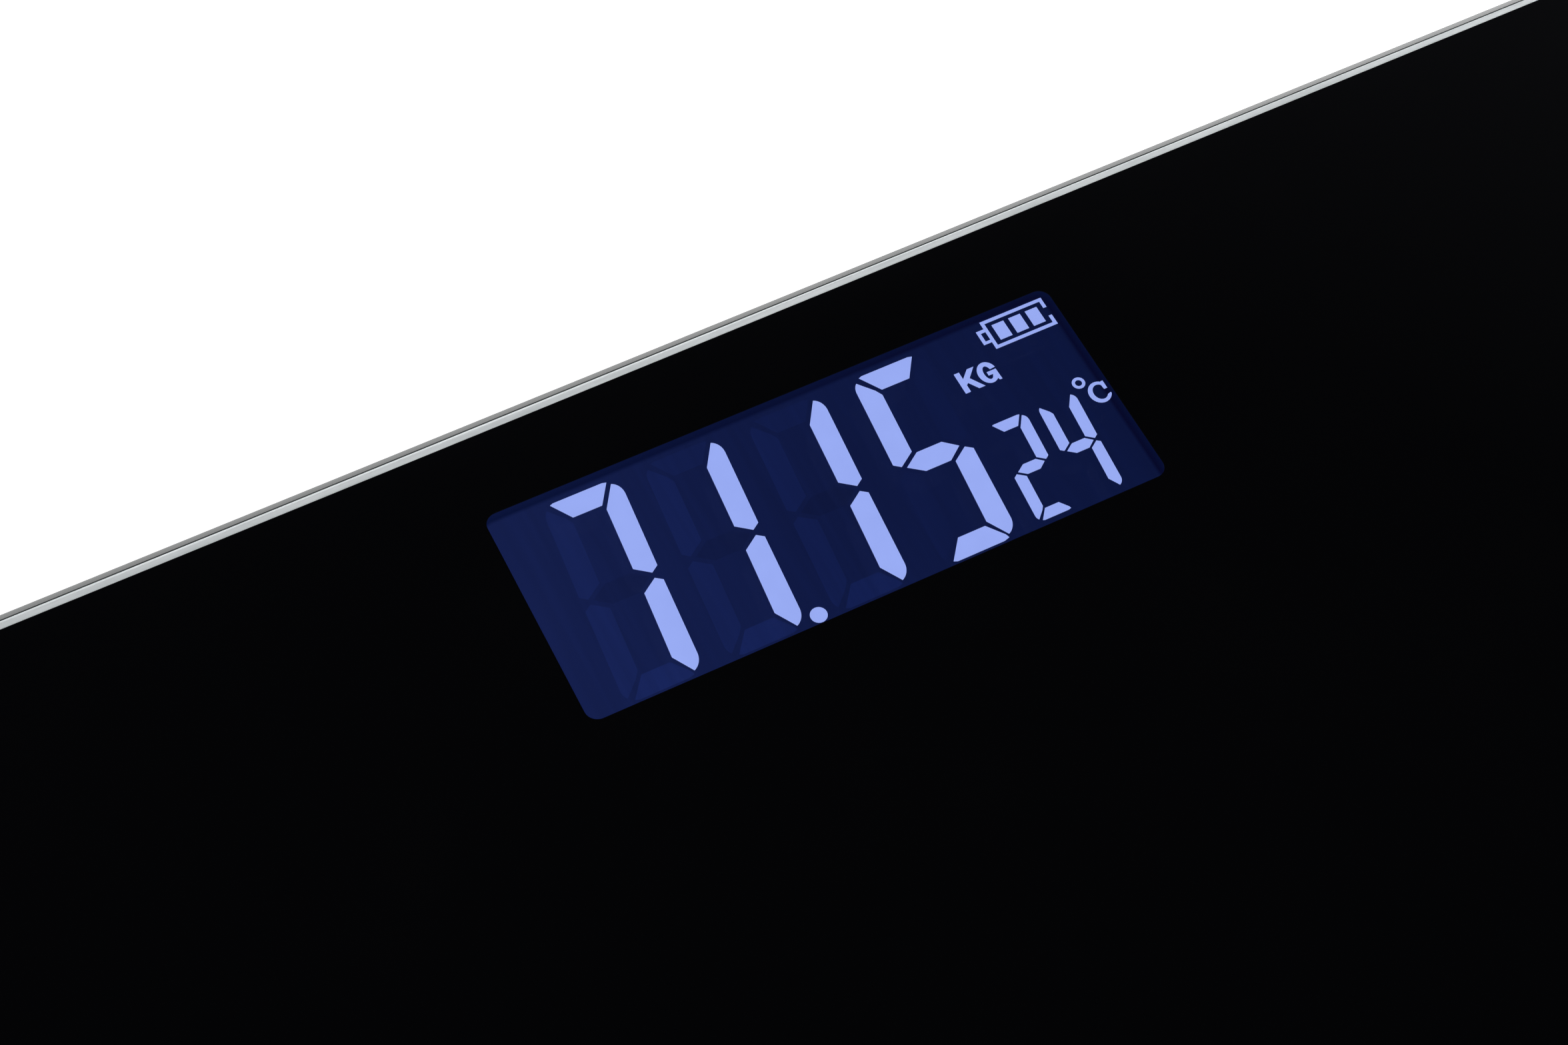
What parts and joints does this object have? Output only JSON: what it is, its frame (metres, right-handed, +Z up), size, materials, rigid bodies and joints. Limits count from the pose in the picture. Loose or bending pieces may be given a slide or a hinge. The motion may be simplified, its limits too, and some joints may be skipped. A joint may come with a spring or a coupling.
{
  "type": "bathroom scale",
  "caption": "Square black tempered-glass bathroom scale with a recessed blue backlit digital display, load-cell feet, battery door and unit button.",
  "frame": {"origin": "on the floor, under the centre of the square platform", "axes": "+Z up out of the glass, +Y from the standing side towards the display edge, +X to the right as the display reads"},
  "size_m": [0.3, 0.3, 0.022],
  "materials": {
    "platform_glass": "polished faces, ground edges",
    "black_print": "glossy ceramic print seen through the glass",
    "dark_plastic": "fine spark texture",
    "white_plastic": "satin",
    "grey_rubber": "matt",
    "steel": "satin, stamped",
    "spring_steel": "bright nickel plate",
    "circuit_board": "solder mask",
    "black_component": "satin epoxy",
    "display_blue": "polarising film over a lit blue ground",
    "clear_plastic": "polished",
    "silicone": "soft satin",
    "foam": "matt",
    "cell_label": "printed film over a steel can",
    "lead_grey": "satin sleeve",
    "red_wire": "satin",
    "black_wire": "satin"
  },
  "bodies": {
    "platform": {"glass_platform": "platform_glass", "backing_print": "black_print", "display_housing": "dark_plastic", "housing_cover": "dark_plastic", "foot_housing_front_left": "dark_plastic", "foot_housing_front_right": "dark_plastic", "foot_housing_back_left": "dark_plastic", "foot_housing_back_right": "dark_plastic", "backlight_frame": "white_plastic", "reflector_sheet": "white_plastic", "backlight_led_left": "white_plastic", "backlight_led_right": "white_plastic", "lead_duct_left": "white_plastic", "lead_duct_right": "white_plastic", "load_cell_front_left": "steel", "load_cell_front_right": "steel", "load_cell_back_left": "steel", "load_cell_back_right": "steel", "cover_screw_1": "steel", "cover_screw_2": "steel", "cover_screw_3": "steel", "cover_screw_4": "steel", "negative_contact": "spring_steel", "positive_contact": "spring_steel", "bridge_contact": "spring_steel", "main_board": "circuit_board", "controller_chip": "black_component", "supply_capacitor": "black_component", "temperature_sensor": "black_component", "tact_switch": "black_component", "front_polariser": "display_blue", "rear_polariser": "display_blue", "front_lcd_glass": "clear_plastic", "rear_lcd_glass": "clear_plastic", "light_guide": "clear_plastic", "gauge_seal_front_left": "silicone", "gauge_seal_front_right": "silicone", "gauge_seal_back_left": "silicone", "gauge_seal_back_right": "silicone", "display_seal": "foam", "zebra_connector": "foam", "battery_cell_near": "cell_label", "battery_cell_far": "cell_label", "load_cell_lead_front_left": "lead_grey", "load_cell_lead_front_right": "lead_grey", "load_cell_lead_back_left": "lead_grey", "load_cell_lead_back_right": "lead_grey", "battery_lead_red": "red_wire", "battery_lead_black": "black_wire"},
    "foot_front_left": {"foot_cap_front_left": "dark_plastic", "foot_pad_front_left": "grey_rubber"},
    "foot_front_right": {"foot_cap_front_right": "dark_plastic", "foot_pad_front_right": "grey_rubber"},
    "foot_back_left": {"foot_cap_back_left": "dark_plastic", "foot_pad_back_left": "grey_rubber"},
    "foot_back_right": {"foot_cap_back_right": "dark_plastic", "foot_pad_back_right": "grey_rubber"},
    "battery_door": {"battery_door": "dark_plastic"},
    "unit_button": {"unit_button": "grey_rubber", "switch_plunger": "white_plastic"}
  },
  "joints": [
    {"name": "foot_front_left_travel", "type": "slide", "parent": "platform", "child": "foot_front_left", "axis": [0, 0, 1], "range_m": [0, 0.0004], "stiffness_N_per_m": 2000, "springref_m": -0.003},
    {"name": "foot_front_right_travel", "type": "slide", "parent": "platform", "child": "foot_front_right", "axis": [0, 0, 1], "range_m": [0, 0.0004], "stiffness_N_per_m": 2000, "springref_m": -0.003},
    {"name": "foot_back_left_travel", "type": "slide", "parent": "platform", "child": "foot_back_left", "axis": [0, 0, 1], "range_m": [0, 0.0004], "stiffness_N_per_m": 2000, "springref_m": -0.003},
    {"name": "foot_back_right_travel", "type": "slide", "parent": "platform", "child": "foot_back_right", "axis": [0, 0, 1], "range_m": [0, 0.0004], "stiffness_N_per_m": 2000, "springref_m": -0.003},
    {"name": "battery_door_hinge", "type": "hinge", "parent": "platform", "child": "battery_door", "pos_m": [-0.0244, 0.0915, 0.0046], "axis": [0, 1, 0], "range_deg": [0, 80]},
    {"name": "unit_button_travel", "type": "slide", "parent": "platform", "child": "unit_button", "axis": [0, 0, 1], "range_m": [0, 0.0006], "stiffness_N_per_m": 400, "springref_m": -0.001}
  ]
}
